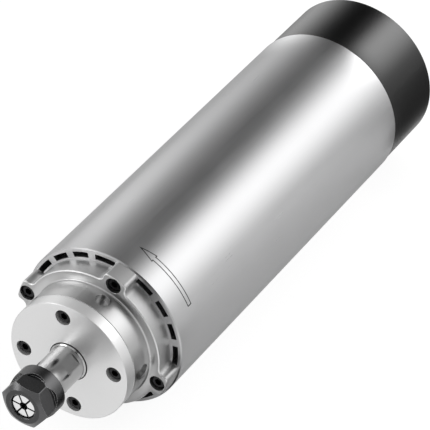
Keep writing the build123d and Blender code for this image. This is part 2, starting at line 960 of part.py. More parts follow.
# A dished spring washer pushes the rear bearing forward and takes up the play.
with BuildPart() as preload_spring:
    revolve(
        half_section(
            (rear_bearing_end, rear_bearing_outer_radius - spring_play),
            (rear_bearing_end + spring_thickness, rear_bearing_outer_radius - spring_play),
            (floor_front, rear_outer_shoulder - spring_reach),
            (floor_front - spring_thickness, rear_outer_shoulder - spring_reach),
        ),
        axis=Axis.X,
    )
finish(preload_spring, "preload_spring")


def shaft_clip(name, x, seat, outer):
    """Writes an open spring clip that sits in a groove of the shaft."""
    with BuildPart() as clip:
        with BuildSketch(Plane.YZ.offset(x)):
            add(sector(seat - clip_groove, outer, clip_opening / 2, 360 - clip_opening / 2))
        extrude(amount=clip_width)
    finish(clip, name)


shaft_clip("rear_bearing_circlip", rear_bearing_end, rear_seat_radius, clip_radius)
shaft_clip("fan_clip", fan_rear, tail_radius, clip_radius - rear_seat_radius + tail_radius)

# The fan: a disc towards the motor with swept blades that throw the air outwards.
with BuildSketch() as fan_blade:
    with BuildLine():
        blade_root = Vector(fan_hub_radius - fan_hub_reach, 0)
        blade_tip = Vector(fan_radius - fan_blade_thickness, 0).rotate(Axis.Z, -fan_blade_sweep)
        blade_belly = Vector((fan_hub_radius + fan_radius) / 2, 0).rotate(
            Axis.Z, -fan_blade_sweep / 3
        )
        ThreePointArc(blade_root, blade_belly, blade_tip)
    trace(line_width=fan_blade_thickness)

with BuildPart() as cooling_fan:
    revolve(
        half_section(
            (fan_front, tail_radius + fan_bore_gap),
            (fan_front, fan_radius),
            (fan_front + fan_disc, fan_radius),
            (fan_front + fan_disc, fan_hub_radius + fan_disc),
            (fan_front + 2 * fan_disc, fan_hub_radius),
            (fan_rear, fan_hub_radius),
            (fan_rear, tail_radius + fan_bore_gap),
        ),
        axis=Axis.X,
    )
    with BuildSketch(Plane.YZ.offset(fan_front)):
        with PolarLocations(0, fan_blade_count):
            add(fan_blade.sketch)
    extrude(amount=fan_width - fan_disc / 2)
finish(cooling_fan, "cooling_fan")

# The rear cap: a thin shell with four screw bosses and a ring of air inlets round the socket.
with BuildPart() as rear_cap:
    with BuildSketch(Plane.YZ.offset(body_rear)):
        Circle(cap_radius)
        Circle(cap_inner_radius, mode=Mode.SUBTRACT)
    extrude(amount=cap_length)
    with BuildSketch(Plane.YZ.offset(cap_inside)):
        Circle(cap_radius)
    extrude(amount=cap_floor)
    with BuildSketch(Plane.YZ.offset(bracket_rear)):
        with PolarLocations(screw_circle_radius, lug_count, start_angle=lug_angle):
            Circle(cap_boss_radius)
            with Locations((cap_boss_radius / 2, 0)):
                Rectangle(cap_boss_radius, 2 * cap_boss_radius)
        Circle(cap_radius - cap_wall / 2, mode=Mode.INTERSECT)
    extrude(amount=cap_rear - bracket_rear)
    rear_rim = rear_cap.edges().filter_by(GeomType.CIRCLE).group_by(Axis.X)[-1]
    fillet(rear_rim.filter_by(lambda e: abs(e.radius - cap_radius) < 0.01), cap_edge)
    with Locations(rear_plane(cap_rear)):
        with PolarLocations(screw_circle_radius, lug_count, start_angle=lug_angle):
            CounterBoreHole(
                screw_radius + shank_clearance,
                screw_head_radius + cap_head_clearance,
                head_seat,
                depth=cap_length,
            )
        Hole(socket_radius, depth=cap_floor)
    with BuildSketch(Plane.YZ.offset(cap_inside)):
        with PolarLocations((grille_inner_radius + grille_outer_radius) / 2, grille_slot_count):
            SlotOverall(grille_outer_radius - grille_inner_radius, grille_slot_width)
    extrude(amount=cap_floor, mode=Mode.SUBTRACT)
finish(rear_cap, "rear_cap")

# The power socket: a threaded metal shell, an insulator with four pins and a nut inside the cap.
socket_start = cap_inside - socket_inner_length
cup_floor = socket_end - socket_cup_depth
with BuildPart() as socket_shell:
    revolve(
        half_section(
            (socket_start, insulator_boss_radius),
            (socket_start, socket_radius - core_fit),
            (cap_rear, socket_radius - core_fit),
            (cap_rear, socket_flange_radius - shaft_edge),
            (cap_rear + shaft_edge, socket_flange_radius),
            (cap_rear + socket_flange, socket_flange_radius),
            (cap_rear + socket_flange, socket_radius),
            (socket_end - shaft_edge, socket_radius),
            (socket_end, socket_radius - shaft_edge),
            (socket_end, socket_cup_radius),
            (cup_floor - socket_flange, socket_cup_radius),
            (cup_floor - socket_flange, insulator_boss_radius),
        ),
        axis=Axis.X,
    )
    with BuildSketch(Plane.YZ.offset(cup_floor)):
        with Locations((0, socket_cup_radius)):
            Rectangle(socket_key_width, 2 * socket_key_depth)
    extrude(amount=socket_cup_depth, mode=Mode.SUBTRACT)
finish(socket_shell, "socket_shell")

insulator_start = socket_start - insulator_tail
with BuildPart() as socket_insulator:
    revolve(
        half_section(
            (insulator_start, 0),
            (insulator_start, insulator_boss_radius - core_fit),
            (cup_floor - socket_flange + core_fit, insulator_boss_radius - core_fit),
            (cup_floor - socket_flange + core_fit, socket_cup_radius - core_fit),
            (cup_floor, socket_cup_radius - core_fit),
            (cup_floor, 0),
        ),
        axis=Axis.X,
    )
    with BuildSketch(Plane.YZ.offset(insulator_start)):
        with PolarLocations(pin_circle_radius, lug_count, start_angle=lug_spacing / 2):
            Circle(pin_radius + pin_fit)
    extrude(amount=cup_floor - insulator_start, mode=Mode.SUBTRACT)
finish(socket_insulator, "socket_insulator")

with BuildPart() as socket_pins:
    with BuildSketch(Plane.YZ.offset(insulator_start - pin_tail)):
        with PolarLocations(pin_circle_radius, lug_count, start_angle=lug_spacing / 2):
            Circle(pin_radius)
    extrude(amount=cup_floor + pin_reach - insulator_start + pin_tail)
finish(socket_pins, "socket_pins")

with BuildPart() as socket_nut:
    with BuildSketch(Plane.YZ.offset(cap_inside - socket_nut_width)):
        RegularPolygon(socket_nut_radius, 6, major_radius=False)
        Circle(socket_radius, mode=Mode.SUBTRACT)
    extrude(amount=socket_nut_width)
finish(socket_nut, "socket_nut")

# The leads run in one sleeve from the end turns, through the bracket's notch, round the fan's
# rim and along the cap's floor to the socket.
lead_side = math.radians(lead_angle)
lead_plane = Plane(
    origin=(0, 0, 0), x_dir=(1, 0, 0), z_dir=(0, -math.sin(lead_side), math.cos(lead_side))
)
lead_start = core_rear + end_turn_length - lead_start_overlap
lead_turn = fan_rear + lead_turn_setback
with BuildPart() as lead_sleeve:
    with BuildLine(lead_plane) as route:
        FilletPolyline(
            (lead_start, lead_inner_reach),
            (body_rear + lead_notch_gap, lead_inner_reach),
            (fan_front + lead_notch_gap, lead_outer_reach),
            (lead_turn, lead_outer_reach),
            (lead_turn, insulator_boss_radius),
            radius=lead_bend,
        )
    with BuildSketch(Plane(origin=route.line @ 0, z_dir=route.line % 0)):
        Circle(lead_radius)
    sweep()
finish(lead_sleeve, "lead_sleeve")
route_length = sum(edge.length for edge in route.edges())
print("lead sleeve length", round(route_length, 1), round(route_length * math.pi * lead_radius**2))
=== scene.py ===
"""Finishes, fine pieces and studio of an air-cooled motor spindle.

Metres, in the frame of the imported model: the axis of the shaft is X, which runs to the rear, and Z is up.
Angles about the axis start at +Y and turn towards +Z.
"""

import math

import bmesh
import bpy
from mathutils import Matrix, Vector


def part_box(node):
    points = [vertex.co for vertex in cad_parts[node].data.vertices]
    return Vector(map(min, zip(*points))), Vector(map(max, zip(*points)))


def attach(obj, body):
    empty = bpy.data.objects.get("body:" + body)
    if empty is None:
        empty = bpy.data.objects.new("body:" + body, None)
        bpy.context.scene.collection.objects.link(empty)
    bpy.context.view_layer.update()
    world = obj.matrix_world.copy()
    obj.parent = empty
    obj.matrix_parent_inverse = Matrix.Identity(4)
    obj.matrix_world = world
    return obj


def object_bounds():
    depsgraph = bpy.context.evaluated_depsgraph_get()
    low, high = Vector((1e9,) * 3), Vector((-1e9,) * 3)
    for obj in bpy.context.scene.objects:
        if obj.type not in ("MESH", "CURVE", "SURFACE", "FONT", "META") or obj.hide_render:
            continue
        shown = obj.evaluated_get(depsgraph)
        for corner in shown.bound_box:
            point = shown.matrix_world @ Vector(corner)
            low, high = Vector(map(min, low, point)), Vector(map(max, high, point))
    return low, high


bl_info = {
    "name": "Motor spindle finishes",
    "version": (1, 0, 0),
    "blender": (4, 5, 0),
    "location": "View3D > Sidebar > Spindle",
    "description": "Finishes, fine pieces and studio of an air-cooled motor spindle",
    "category": "Object",
}

MM = 0.001
WHITE = (1, 1, 1, 1)

# How far a rounded normal departs from the plain one where the lighter edges start and where they are full;
# the edges are painted lighter as wear and as painted highlight.
WEAR_AND_HIGHLIGHT_START = 0.03
WEAR_AND_HIGHLIGHT_FULL = 0.25

# How much lighter edges are painted, partly as wear and partly as painted highlight, and how much of that
# shows.
WEAR_AND_HIGHLIGHT_LIGHTER = 1.5
WEAR_AND_HIGHLIGHT_SHARE = 0.8

# The pitch of marks as a share of their length: turned, drawn, and on the bell and the nut.
TURNED_SHARE = 0.04
DRAWN_SHARE = 0.02
COARSE_SHARE = 0.039

# The darkest and lightest grey that most metals are multiplied by.
EVEN_SHADE = (0.94, 1.03)

# Rays that find a rounded edge.
EDGE_SAMPLES = 6

# Noise scale of the cloudy patches on metal.
CLOUD_SCALE = 60

# How much marks and patches change a metal's roughness.
MARK_ROUGHNESS = 0.08
CLOUD_ROUGHNESS = 0.06

CAMERA_AIM = Vector((-0.0015, 0.0008, -0.0013))
SENSOR_WIDTH = 36

# Thread pitches of the collet nut and of the power socket.
NOSE_PITCH = 0.75 * MM
SOCKET_PITCH = 1 * MM

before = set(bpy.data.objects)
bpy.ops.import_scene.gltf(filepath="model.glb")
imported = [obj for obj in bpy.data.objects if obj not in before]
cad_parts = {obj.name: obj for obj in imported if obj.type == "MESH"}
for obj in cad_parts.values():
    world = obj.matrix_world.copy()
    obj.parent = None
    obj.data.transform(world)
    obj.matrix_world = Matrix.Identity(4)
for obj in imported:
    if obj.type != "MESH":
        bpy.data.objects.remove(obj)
CAD_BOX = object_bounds()
TUBE_LOW, TUBE_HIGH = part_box("body_tube")
TUBE_RADIUS = TUBE_HIGH.z
TUBE_FRONT = TUBE_LOW.x
FLOOR_HEIGHT = CAD_BOX[0].z
CARD_HEIGHT = FLOOR_HEIGHT + MM / 2


class Value:
    """What a socket gives out. Python's operators on it add the Math nodes."""

    def __init__(self, finish, socket):
        self.finish = finish
        self.socket = socket

    def maths(self, operation, *others):
        numbers = dict(enumerate((self, *others)))
        return self.finish.node("ShaderNodeMath", {"operation": operation}, numbers)

    def __add__(self, other):
        return self.maths("ADD", other)

    def __mul__(self, other):
        return self.maths("MULTIPLY", other)

    def __sub__(self, other):
        return self.maths("SUBTRACT", other)

    def __rsub__(self, other):
        return (self * -1) + other

    def __truediv__(self, other):
        return self.maths("DIVIDE", other)

    __radd__ = __add__
    __rmul__ = __mul__

    def between(self, low, high):
        """0 below low, 1 above high and smooth between them."""
        settings = {"interpolation_type": "SMOOTHSTEP"}
        return self.finish.node("ShaderNodeMapRange", settings, {0: self, 1: low, 2: high})


class Finish:
    """A material or world whose nodes are made by calls."""

    def __init__(self, owner):
        self.owner = owner
        owner.use_nodes = True
        self.tree = owner.node_tree
        self.tree.nodes.clear()

    def node(self, kind, settings=None, sockets=None, output=0):
        """Adds one node: its settings come first, then the values or links of its sockets."""
        made = self.tree.nodes.new(kind)
        for name, value in (settings or {}).items():
            setattr(made, name, value)
        for key, value in (sockets or {}).items():
            if isinstance(value, Value):
                self.tree.links.new(value.socket, made.inputs[key])
            else:
                made.inputs[key].default_value = value
        return Value(self, made.outputs[output]) if made.outputs else None

    def position(self, along=1, across=1):
        """Object coordinates, scaled along the axis and across it."""
        sockets = {0: self.node("ShaderNodeTexCoord", output="Object"), 1: (along, across, across)}
        return self.node("ShaderNodeVectorMath", {"operation": "MULTIPLY"}, sockets)

    def radius(self):
        """Distance from the axis."""
        flat = self.position(0, 1)
        return self.node("ShaderNodeVectorMath", {"operation": "LENGTH"}, {0: flat}, "Value")

    def noise(self, where, scale, detail=2):
        sockets = {"Vector": where, "Scale": scale, "Detail": detail}
        return self.node("ShaderNodeTexNoise", None, sockets)

    def clouds(self):
        """Soft patches, as handling leaves them on metal."""
        return self.noise(self.position(), CLOUD_SCALE, 3)

    def grain(self, size, detail=3):
        """Even grain of that size, as on cast or moulded parts."""
        return self.noise(self.position(), 1 / size, detail)

    def turning(self, pitch, share=TURNED_SHARE):
        """Fine marks that run round the axis, far longer than their pitch."""
        return self.noise(self.position(1 / pitch, share / pitch), 1, 3)

    def rings(self, pitch):
        """Turning marks: a noise that changes only with the distance from the axis."""
        sockets = {"W": self.radius() / pitch, "Scale": 1, "Detail": 2}
        return self.node("ShaderNodeTexNoise", {"noise_dimensions": "1D"}, sockets)

    def part(self, where, axis):
        """One coordinate: 0 is along the axis, 1 is Y and 2 is Z."""
        return self.node("ShaderNodeSeparateXYZ", None, {0: where}, axis)

    def thread(self, pitch, start, end):
        """Height of a right-hand thread from 0 to 1, between two places along the axis."""
        where = self.position()
        along = self.part(where, 0)
        turn = self.part(where, 2).maths("ARCTAN2", self.part(where, 1)) / math.tau
        height = (along / pitch - turn).maths("PINGPONG", 0.5) * 2
        return height * along.between(start, start + pitch) * (1 - along.between(end - pitch, end))

    def slot_shade(self, width, count, angle):
        """1 in the slots that cross the axis, 0 elsewhere and soft at their edges; it marks where shade is
        painted along the slots.
        """
        where = self.position()
        across = self.part(where, 1)
        up = self.part(where, 2)
        nearest = None
        for number in range(count):
            turn = math.radians(angle) + number * math.pi / count
            gap = (across * math.sin(turn) - up * math.cos(turn)).maths("ABSOLUTE")
            nearest = nearest.maths("MINIMUM", gap) if nearest else gap
        return 1 - nearest.between(width * 0.4, width * 0.6)

    def blend(self, factor, first, second):
        """A mix of two colours, through the sockets that the Mix node keeps for colours."""
        settings = {"data_type": "RGBA"}
        return self.node("ShaderNodeMix", settings, {0: factor, 6: first, 7: second}, 2)

    def tint(self, factor, colour, dark, light):
        """The colour times a grey from dark to light."""
        shades = [(*(part * share for part in colour[:3]), 1) for share in (dark, light)]
        return self.blend(factor, *shades)

    def soft_edge(self, width):
        return self.node("ShaderNodeBevel", {"samples": EDGE_SAMPLES}, {"Radius": width})

    def plain_normal(self):
        return self.node("ShaderNodeNewGeometry", output="Normal")

    def edge_wear_and_highlight(self, width):
        """1 on sharp edges and 0 on open surfaces: where edges are painted lighter, as wear and as painted
        highlight.
        """
        sockets = {0: self.soft_edge(width), 1: self.plain_normal()}
        alike = self.node("ShaderNodeVectorMath", {"operation": "DOT_PRODUCT"}, sockets, "Value")
        return (1 - alike).between(WEAR_AND_HIGHLIGHT_START, WEAR_AND_HIGHLIGHT_FULL)

    def relief(self, height, distance, edge=0):
        """A bump of that depth. With an edge width it lies on rounded edges."""
        sockets = {"Height": height, "Distance": distance, "Strength": 1}
        if edge:
            sockets["Normal"] = self.soft_edge(edge)
        return self.node("ShaderNodeBump", None, sockets)

    def surface(self, **sockets):
        """Ends the material with one shader. A socket's name is written with _ for a space."""
        named = {key.replace("_", " "): value for key, value in sockets.items()}
        return self.end(self.node("ShaderNodeBsdfPrincipled", None, named))

    def glow(self, strength):
        return self.node("ShaderNodeEmission", None, {"Color": WHITE, "Strength": strength})

    def rays(self):
        """1 or 0 each for what the camera sees, what mirrors show and what shows through."""
        kinds = ("Is Camera Ray", "Is Glossy Ray", "Is Transmission Ray")
        return [self.node("ShaderNodeLightPath", output=kind) for kind in kinds]

    def mixed(self, factor, first, second):
        """Ends the material with a mix of two shaders."""
        return self.end(self.node("ShaderNodeMixShader", None, {0: factor, 1: first, 2: second}))

    def end(self, shader):
        self.node("ShaderNodeOutputMaterial", None, {"Surface": shader})
        return self.owner


def start_finish(name):
    return Finish(bpy.data.materials.new(name))


def metal(name, colour, roughness, marks, depth, edge=0, shade=EVEN_SHADE, metallic=1.0):
    """A metal with fine marks and cloudy shade. With an edge width its edges are rounded and painted
    lighter, partly as wear and partly as painted highlight.
    """
    finish = start_finish(name)
    clouds = finish.clouds()
    lines = marks(finish)
    tinted = finish.tint(clouds * 0.5 + lines * 0.5, colour, *shade)
    if edge:
        # Lighter edges: partly wear, partly painted highlight along the rounded edges.
        lighter = (*(min(1, part * WEAR_AND_HIGHLIGHT_LIGHTER) for part in colour), 1)
        tinted = finish.blend(finish.edge_wear_and_highlight(edge) * WEAR_AND_HIGHLIGHT_SHARE, tinted, lighter)
    return finish.surface(
        Base_Color=tinted,
        Metallic=metallic,
        Roughness=roughness + (lines - 0.5) * MARK_ROUGHNESS + (clouds - 0.5) * CLOUD_ROUGHNESS,
        Normal=finish.relief(lines, depth, edge),
    )


def turned_along(pitch):
    """Marks that run round the axis, as on a turned or ground cylinder."""
    return lambda finish: finish.turning(pitch)


def drawn_along(pitch):
    """Marks that run along the axis, as on a drawn or extruded tube."""
    return lambda finish: finish.noise(finish.position(DRAWN_SHARE / pitch, 1 / pitch), 1, 3)


def faced(pitch):
    """Marks that run round the axis on a turned face."""
    return lambda finish: finish.rings(pitch)


def grained(pitch):
    """Even grain, as on cast or moulded parts."""
    return lambda finish: finish.grain(pitch, 4)


def moulded(name, colour, roughness, size, depth, shade, edge=0):
    """A plastic with even grain of that size."""
    finish = start_finish(name)
    grain = finish.grain(size)
    return finish.surface(
        Base_Color=finish.tint(grain, colour, *shade),
        Roughness=roughness + grain * 0.1,
        Normal=finish.relief(grain, depth, edge),
    )


def dress(names, material):
    """Gives CAD nodes a finish."""
    for name in names:
        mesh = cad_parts[name].data
        mesh.materials.clear()
        mesh.materials.append(material)


class SpindleColours(bpy.types.PropertyGroup):
    """Base colours of the finishes."""

    tube: bpy.props.FloatVectorProperty(
        name="Tube",
        description="Satin aluminium of the body tube",
        subtype="COLOR",
        default=(0.62, 0.62, 0.625),
    )
    casting: bpy.props.FloatVectorProperty(
        name="Casting",
        description="Front end bell",
        subtype="COLOR",
        default=(0.61, 0.61, 0.61),
    )
    cover: bpy.props.FloatVectorProperty(
        name="Cover",
        description="Turned front cover",
        subtype="COLOR",
        default=(0.86, 0.86, 0.86),
    )
    steel: bpy.props.FloatVectorProperty(
        name="Steel", description="Ground shaft", subtype="COLOR", default=(0.52, 0.52, 0.52)
    )
    bright: bpy.props.FloatVectorProperty(
        name="Bright steel", description="Collet", subtype="COLOR", default=(0.9, 0.9, 0.9)
    )
    nut: bpy.props.FloatVectorProperty(
        name="Nut",
        description="Blackened collet nut",
        subtype="COLOR",
        default=(0.12, 0.12, 0.122),
    )
    screws: bpy.props.FloatVectorProperty(
        name="Screws",
        description="Blackened cap screws",
        subtype="COLOR",
        default=(0.035, 0.035, 0.036),
    )
    cap: bpy.props.FloatVectorProperty(
        name="Cap", description="Black rear cap", subtype="COLOR", default=(0.003, 0.003, 0.003)
    )
    copper: bpy.props.FloatVectorProperty(
        name="Copper", description="Windings", subtype="COLOR", default=(0.75, 0.32, 0.14)
    )
    brass: bpy.props.FloatVectorProperty(
        name="Brass", description="Socket pins", subtype="COLOR", default=(0.83, 0.66, 0.32)
    )
    nickel: bpy.props.FloatVectorProperty(
        name="Nickel",
        description="Socket shell and nut",
        subtype="COLOR",
        default=(0.72, 0.7, 0.66),
    )
    laminations: bpy.props.FloatVectorProperty(
        name="Laminations",
        description="Rotor and stator stacks",
        subtype="COLOR",
        default=(0.3, 0.3, 0.31),
    )
    cage: bpy.props.FloatVectorProperty(
        name="Cage resin",
        description="Bearing cages",
        subtype="COLOR",
        default=(0.42, 0.2, 0.07),
    )
    fan: bpy.props.FloatVectorProperty(
        name="Fan", description="Cooling fan", subtype="COLOR", default=(0.02, 0.02, 0.022)
    )
    sleeve: bpy.props.FloatVectorProperty(
        name="Sleeve",
        description="Braid of the lead sleeve",
        subtype="COLOR",
        default=(0.55, 0.5, 0.4),
    )
    insulator: bpy.props.FloatVectorProperty(
        name="Insulator",
        description="Inside of the socket",
        subtype="COLOR",
        default=(0.012, 0.012, 0.012),
    )
    ink: bpy.props.FloatVectorProperty(
        name="Ink",
        description="Printed rotation arrow",
        subtype="COLOR",
        default=(0.01, 0.01, 0.01),
    )


class SpindleStudio(bpy.types.PropertyGroup):
    """Camera, lamps and backdrop."""

    lens: bpy.props.FloatProperty(
        name="Lens",
        description="Focal length on a 36 mm sensor",
        default=246.98,
        min=20,
        subtype="DISTANCE_CAMERA",
    )
    camera_distance: bpy.props.FloatProperty(
        name="Camera distance",
        description="From the point that it aims at",
        default=1.1108,
        unit="LENGTH",
    )
    camera_azimuth: bpy.props.FloatProperty(
        name="Camera azimuth",
        description="Turn about Z",
        default=math.radians(-59.504),
        subtype="ANGLE",
    )
    camera_elevation: bpy.props.FloatProperty(
        name="Camera elevation",
        description="Angle above the floor",
        default=math.radians(36.078),
        subtype="ANGLE",
    )
    lamp_distance: bpy.props.FloatProperty(
        name="Lamp distance",
        description="From the axis to the key lamp and the bright strip",
        default=0.72,
        unit="LENGTH",
    )
    key_brightness: bpy.props.FloatProperty(
        name="Key brightness",
        description="Brightness of the key lamp where white is 1",
        default=2.9,
        min=0,
    )
    strip_brightness: bpy.props.FloatProperty(
        name="Strip brightness",
        description="The key lamp's glow as metal sees it",
        default=1.88,
        min=0,
    )
    room_brightness: bpy.props.FloatProperty(
        name="Room brightness",
        description="What shiny surfaces see of the room",
        default=0.68,
        min=0,
    )
    fill_brightness: bpy.props.FloatProperty(
        name="Fill brightness", description="Soft light from all sides", default=0.8, min=0
    )


class SpindleArrow(bpy.types.PropertyGroup):
    """Printed rotation arrow."""

    setback: bpy.props.FloatProperty(
        name="Setback",
        description="From the tube's front to the arrow's middle line",
        default=10.8 * MM,
        unit="LENGTH",
    )
    shaft_width: bpy.props.FloatProperty(
        name="Shaft width",
        description="Across the two long lines",
        default=1.9 * MM,
        unit="LENGTH",
    )
    head_width: bpy.props.FloatProperty(
        name="Head width", description="Across the head's base", default=3.4 * MM, unit="LENGTH"
    )
    line_width: bpy.props.FloatProperty(
        name="Line width",
        description="Width of the printed line",
        default=0.36 * MM,
        unit="LENGTH",
    )
    thickness: bpy.props.FloatProperty(
        name="Thickness",
        description="Thickness of the ink",
        default=0.01 * MM,
        unit="LENGTH",
        precision=6,
    )
    tip_shift: bpy.props.FloatProperty(
        name="Tip shift",
        description="How far the tip lies behind the middle line",
        default=0.5 * MM,
        unit="LENGTH",
    )
    tail_angle: bpy.props.FloatProperty(
        name="Tail",
        description="Where the arrow starts",
        default=math.radians(154.7),
        subtype="ANGLE",
    )
    neck_angle: bpy.props.FloatProperty(
        name="Head's base",
        description="Where the head starts",
        default=math.radians(117.5),
        subtype="ANGLE",
    )
    tip_angle: bpy.props.FloatProperty(
        name="Tip",
        description="Where the arrow ends",
        default=math.radians(106.1),
        subtype="ANGLE",
    )
    step: bpy.props.FloatProperty(
        name="Step",
        description="Angle between two points of a long line",
        default=math.radians(1),
        subtype="ANGLE",
    )


class SPINDLE_OT_studio(bpy.types.Operator):
    """Camera, lamps, cards, floor and white room"""

    bl_idname = "spindle.studio"
    bl_label = "Studio"

    def execute(self, context):
        studio = context.scene.spindle_studio
        context.scene.view_settings.view_transform = "Standard"
        self.add_camera(context, studio)
        self.add_room(context, studio)
        self.add_floor()
        self.add_lamp("key_lamp", studio, turn=138, spread=28, length=0.9)
        self.add_tent(studio)
        self.add_front_cards()
        self.add_floor_cards()
        return {"FINISHED"}

    def add_camera(self, context, studio):
        flat = math.cos(studio.camera_elevation)
        x = math.sin(studio.camera_azimuth) * flat
        y = -math.cos(studio.camera_azimuth) * flat
        back = Vector((x, y, math.sin(studio.camera_elevation)))
        camera = bpy.data.objects.new("camera", bpy.data.cameras.new("camera"))
        camera.data.lens = studio.lens
        camera.data.sensor_width = SENSOR_WIDTH
        camera.data.clip_start = 0.01
        camera.data.clip_end = 100
        camera.location = CAMERA_AIM + back * studio.camera_distance
        camera.rotation_euler = (math.pi / 2 - studio.camera_elevation, 0, studio.camera_azimuth)
        context.scene.collection.objects.link(camera)
        context.scene.camera = camera

    def add_room(self, context, studio):
        """White to the camera, greyer in mirrors, and a soft light on matt surfaces."""
        world = bpy.data.worlds.new("white_room")
        context.scene.world = world
        room = Finish(world)
        seen, mirrored, through = room.rays()
        level = seen + through + mirrored * studio.room_brightness
        rest = 1 - (seen + through + mirrored)
        sockets = {"Color": WHITE, "Strength": level + rest * studio.fill_brightness}
        light = room.node("ShaderNodeBackground", None, sockets)
        room.node("ShaderNodeOutputWorld", None, {"Surface": light})

    def add_floor(self):
        """White paper that glows for the camera, so that only the deepest shadow shows."""
        half = 6.0
        grey = (0.62, 0.62, 0.62, 1)
        brightness = 1.2
        seen_share = 0.75
        mirrored_share = 0.05
        mesh = bpy.data.meshes.new("floor")
        corners = [(-half, -half), (half, -half), (half, half), (-half, half)]
        mesh.from_pydata([(x, y, FLOOR_HEIGHT) for x, y in corners], [], [(0, 1, 2, 3)])
        floor = bpy.data.objects.new("floor", mesh)
        bpy.context.scene.collection.objects.link(floor)
        paper = start_finish("floor_paper")
        seen, mirrored, through = paper.rays()
        matt = paper.node("ShaderNodeBsdfDiffuse", None, {"Color": grey})
        glowing = seen * seen_share + (mirrored + through) * mirrored_share
        mesh.materials.append(paper.mixed(glowing, matt, paper.glow(brightness)))

    def place(self, thing, turn, slant, distance, middle=0.0):
        """Turns a lamp or a card to face the axis.

        Its turn about the axis and its slant from the nose are in degrees. Its distance is from a
        point on the axis: the middle of the tube, or one that far behind it.
        """
        turn = math.radians(turn)
        slant = math.radians(slant)
        across = math.sin(slant)
        outward = Vector((-math.cos(slant), across * math.cos(turn), across * math.sin(turn)))
        thing.location = outward * distance + Vector((middle, 0, 0))
        thing.rotation_mode = "QUATERNION"
        thing.rotation_quaternion = outward.to_track_quat("Z", "X")

    def add_lamp(self, name, studio, turn, spread, length):
        """A lamp that mirrors don't see, as wide as its spread in degrees about the axis."""
        width = 2 * studio.lamp_distance * math.tan(math.radians(spread / 2))
        light = bpy.data.lights.new(name, "AREA")
        light.shape = "RECTANGLE"
        light.size = width
        light.size_y = length
        light.energy = 4 * studio.key_brightness * width * length
        lamp = bpy.data.objects.new(name, light)
        lamp.visible_camera = False
        lamp.visible_glossy = False
        bpy.context.scene.collection.objects.link(lamp)
        self.place(lamp, turn, 90, studio.lamp_distance, middle=studio.lamp_distance)

    def add_tent(self, studio):
        """The curved strips whose mirror images are the bands on the tube and on the cap."""
        far = (studio.lamp_distance, 0.2, 1.2)
        glow = studio.strip_brightness
        self.add_strip("bright_strip", far, front=(98, 136, 186), rear=(91, 129, 177), shade=glow)
        behind = (0.74, 0.2, 1.2)
        self.add_strip("dark_strip", behind, front=(30, 106, 136), rear=(-12, 48, 86), shade=0.06)
        short = (0.7, 0.45, 0.64)
        self.add_strip("left_strip", short, front=(-30, 34, 68), rear=(-40, 15, 46), shade=1.15)
        near = (0.05, 0.099, 0.16)
        self.add_strip("cap_left", near, front=(0, 38, 72), rear=(0, 38, 72), shade=1.5)
        self.add_strip("cap_dark", near, front=(66, 83, 102), rear=(66, 83, 102), shade=0.01)
        self.add_strip("cap_bright", near, front=(98, 119, 152), rear=(98, 119, 152), shade=5)
        self.add_strip("cap_right", near, front=(165, 205, 245), rear=(165, 205, 245), shade=0.1)

    def add_strip(self, name, size, front, rear, shade):
        """A strip of cloth round the axis that only mirrors see: three angles at its front and at its rear.

        Its size is its distance from the axis and its two ends along it. It fades in from the first angle
        to the second, and out again to the third.
        """
        columns = 24
        fade = 0.12
        reach, start_place, end_place = size
        ends = ((start_place, front), (end_place, rear))
        points = []
        for place, (start, peak, end) in ends:
            turns = [start + (peak - start) * step / columns for step in range(columns)]
            turns += [peak + (end - peak) * step / columns for step in range(columns + 1)]
            points += [(place, math.radians(turn)) for turn in turns]
        count = 2 * columns + 1
        corners = [(x, reach * math.cos(turn), reach * math.sin(turn)) for x, turn in points]
        faces = [(step, step + 1, count + step + 1, count + step) for step in range(count - 1)]
        mesh = bpy.data.meshes.new(name)
        mesh.from_pydata(corners, [], faces)
        layer = mesh.uv_layers.new(name="across")
        for loop in mesh.loops:
            column = loop.vertex_index % count
            layer.data[loop.index].uv = (column / (count - 1), loop.vertex_index // count)
        cloth = start_finish(name)
        where = cloth.node("ShaderNodeTexCoord", output="UV")
        across = cloth.part(where, 0)
        along = cloth.part(where, 1)
        weight = across.between(0, 0.5) * (1 - across.between(0.5, 1)) * along.between(0, fade)
        clear = cloth.node("ShaderNodeBsdfTransparent")
        mesh.materials.append(cloth.mixed(weight, clear, cloth.glow(shade)))
        self.hide_from_camera(bpy.data.objects.new(name, mesh))

    def add_front_cards(self):
        """The dark end of the room behind the camera, a bright panel beside it and one below the nose."""
        dark = self.make_card("front_card", width=1.3, length=1.1, shade=0.02)
        self.place(dark, turn=118, slant=53, distance=1.35)
        panel = self.make_card("front_panel", width=0.6, length=0.36, shade=3.6)
        self.place(panel, turn=25, slant=46, distance=1.2)
        bounce = self.make_card("front_bounce", width=0.34, length=0.4, shade=0.9)
        bounce.location = (-0.277, 0.02, CARD_HEIGHT)

    def add_floor_cards(self):
        """Dark cloths behind the cap and beside the nut, on the camera's side, and a grey card."""
        behind_cap = [(0.108, -0.03), (0.118, -0.044), (0.134, -0.066), (0.182, -0.12)]
        behind_cap += [(0.264, -0.2), (0.6, -0.5), (0.8, -0.03)]
        self.lay_cloth("floor_flag", behind_cap, shade=0.22)
        beside_nut = [(-0.1, -0.015), (-0.078, -0.03), (-0.058, -0.056), (-0.02, -0.1)]
        beside_nut += [(0.02, -0.142), (0.0, -0.15), (-0.04, -0.107), (-0.076, -0.066), (-0.1, -0.04)]
        self.lay_cloth("nut_flag", beside_nut, shade=0.0)
        grey = self.make_card("floor_grey", width=0.36, length=0.32, shade=0.5)
        grey.location = (0.25, 0.2, CARD_HEIGHT)

